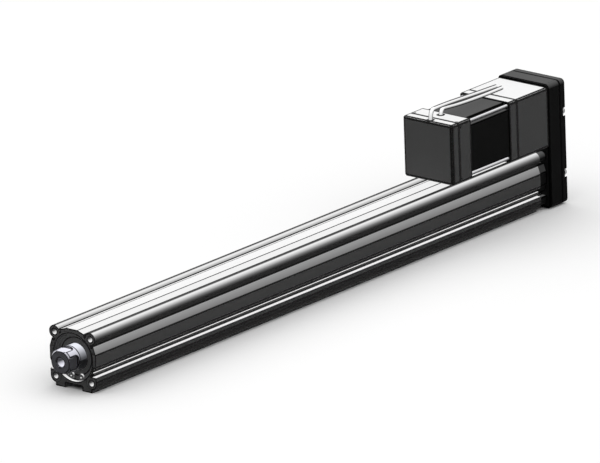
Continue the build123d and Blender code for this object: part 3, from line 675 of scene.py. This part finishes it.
for step in range(1, corner_steps + 1):
    back = flat_corner * (1 - step / corner_steps)
    reach = half_chord - flat_corner + math.sqrt(flat_corner ** 2 - back ** 2)
    rings.append((flat_rear + flat_corner - back, flatted_outline(outer_r, half_flat, reach)))
rings += [
    (rod_end_high.x - chamfer, flatted_outline(outer_r, half_flat, half_chord)),
    (rod_end_high.x - chamfer / 2, flatted_outline((outer_r + disc_r) / 2, half_flat, half_chord)),
    (rod_end_high.x, round_outline(disc_r)),
    (rod_end_high.x, round_outline(bore_r + bore_mouth)),
    (rod_end_high.x - bore_mouth, round_outline(bore_r)),
    (rod_end_high.x - bore_depth, round_outline(bore_r)),
    (rod_end_high.x - drill_depth, round_outline(drill_tip)),
]
rod_end_shape = bmesh.new()
lathe_along_x(rod_end_shape, 0, 0, rings, rod_end_sides)
add_piece("rod_end_nickel", rod_end_shape, nickel, "rod", "rod_end_socket")

# Screw, nut, bearings and brake inside
# Hardened and ground steel. The sensor magnet and the motor's rotor are black magnet material.
ground_steel = grained_material("ground_steel", (0.45, 0.45, 0.46), (0.6, 0.6, 0.61), 0.25, 0.6)
paint(["screw_shaft", "screw_nut", "nut_retainer", "screw_bearing_inner_ring",
       "screw_bearing_outer_ring", "screw_locknut", "bearing_stopper", "motor_shaft",
       "motor_bearings", "brake_coil", "brake_armature", "brake_plate"], ground_steel)
magnet_black = grained_material("magnet_black", grey(0.1), grey(0.16), 0.4, 0.3)
paint(["magnet_ring", "rotor"], magnet_black)

# Bearing housing, return box and its cover
# Die castings with a fine black coat. Four socket screws, zinc plated, hold the cover from behind.
deep_black = grey(0.001)
black_casting = grained_material("black_casting", grey(0.08), grey(0.108), 0.5, specular=0.01,
                                 scale=1500.0, line=deep_black)
paint(["bearing_housing", "return_box", "return_cover"], black_casting)
zinc = grained_material("zinc", grey(0.6), grey(0.72), 0.3, 0.3, line=grey(0.02))


def hexagon_outline(half_width):
    """Hexagon, as a radius for each angle."""
    return lambda angle: half_width / math.cos((angle + math.pi / 6) % (math.pi / 3) - math.pi / 6)


screw_low, screw_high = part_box("return_cover_screws")
head_rear = screw_low.x
head_height = 3.0 * mm
head_front = head_rear + head_height
head_r = 2.75 * mm
head_edge = 0.1 * mm
head_rounding = [(0.35 * mm, 0.0), (0.1 * mm, 0.12 * mm), (0.0, 0.4 * mm)]
shank_r = 1.5 * mm
shank_chamfer = 0.4 * mm
shank_chamfer_long = 0.5 * mm
socket_half = 1.25 * mm
socket_mouth_r = socket_half * 1.25
socket_chamfer = 0.2 * mm
socket_depth = 1.5 * mm
socket_tip_depth = 1.9 * mm
socket_tip_r = 0.2 * mm
screw_sides = 48
rings = [
    (screw_high.x, round_outline(shank_r - shank_chamfer)),
    (screw_high.x - shank_chamfer_long, round_outline(shank_r)),
    (head_front, round_outline(shank_r)),
    (head_front, round_outline(head_r - head_edge)),
    (head_front - head_edge, round_outline(head_r)),
]
for ahead, narrower in head_rounding:
    rings.append((head_rear + ahead, round_outline(head_r - narrower)))
rings += [
    (head_rear, round_outline(socket_mouth_r)),
    (head_rear + socket_chamfer, hexagon_outline(socket_half)),
    (head_rear + socket_depth, hexagon_outline(socket_half)),
    (head_rear + socket_tip_depth, round_outline(socket_tip_r)),
]
screws = bmesh.new()
for y in (screw_low.y + head_r, screw_high.y - head_r):
    for z in (screw_low.z + head_r, screw_high.z - head_r):
        lathe_along_x(screws, y, z, rings, screw_sides)
add_piece("cover_socket_screws", screws, zinc, "body", "return_cover_screws")

# Belt drive and fasteners in the return box
# A rubber belt on two aluminium pulleys. The bolts and screws around it are black oxide steel.
black_oxide = grained_material("black_oxide", grey(0.05), grey(0.08), 0.35, 0.3)
paint(["housing_bolts", "motor_mount_screws"], black_oxide)
pulley_aluminium = grained_material("pulley_aluminium", grey(0.5), grey(0.62), 0.35, 0.3)
paint(["screw_pulley", "motor_pulley"], pulley_aluminium)
belt_rubber = grained_material("belt_rubber", grey(0.02), grey(0.035), 0.6)
paint(["timing_belt"], belt_rubber)

# Motor
# Machined die-cast bells, cap and brake housing in satin grey round a black stack of thin sheets,
# held together by long bright screws.

# Laminations: thin sheets stacked along X, with a fine gap between them, 0 to 1
laminations, given, result = new_group("laminations", [("Sheets", 1250.0)], ["Sheet"])
counted = math_node(laminations, "MULTIPLY", own_axes(laminations)["X"], given.outputs["Sheets"])
within = math_node(laminations, "PINGPONG", counted, 0.5)
flat_top = add_node(laminations, "ShaderNodeMapRange", From_Min=0.0, From_Max=0.15)
laminations.links.new(within, flat_top.inputs["Value"])
laminations.links.new(flat_top.outputs["Result"], result.inputs["Sheet"])

motor_grey = grained_material("motor_grey", grey(0.82), grey(0.88), 0.45, specular=0.08,
                              scale=1200.0, depth=0.006 * mm, line=grey(0.005), reach=2.0 * mm)
paint(["motor_end_cap", "motor_rear_bell", "motor_front_bell", "brake_housing"], motor_grey)
stack_black = grained_material("stack_black", grey(0.08), grey(0.1), 0.5, specular=0.01,
                               line=deep_black)
tree = stack_black.node_tree
sheets = use_group(tree, laminations)
relief(tree, tree.nodes["Principled BSDF"], sheets.outputs["Sheet"], 0.02 * mm)
paint(["motor_stack"], stack_black)
bright_steel = grained_material("bright_steel", (0.78, 0.78, 0.8), (0.88, 0.88, 0.9), 0.3, specular=0.2)
paint(["motor_through_screws"], bright_steel)
copper = grained_material("copper", (0.5, 0.2, 0.07), (0.62, 0.27, 0.1), 0.3, 0.6)
paint(["motor_windings"], copper)
board_green = grained_material("board_green", (0.02, 0.12, 0.05), (0.03, 0.17, 0.07), 0.4)
paint(["encoder_board"], board_green)
friction_lining = grained_material("friction_lining", (0.1, 0.08, 0.06), (0.18, 0.15, 0.12), 0.8)
paint(["brake_disc"], friction_lining)
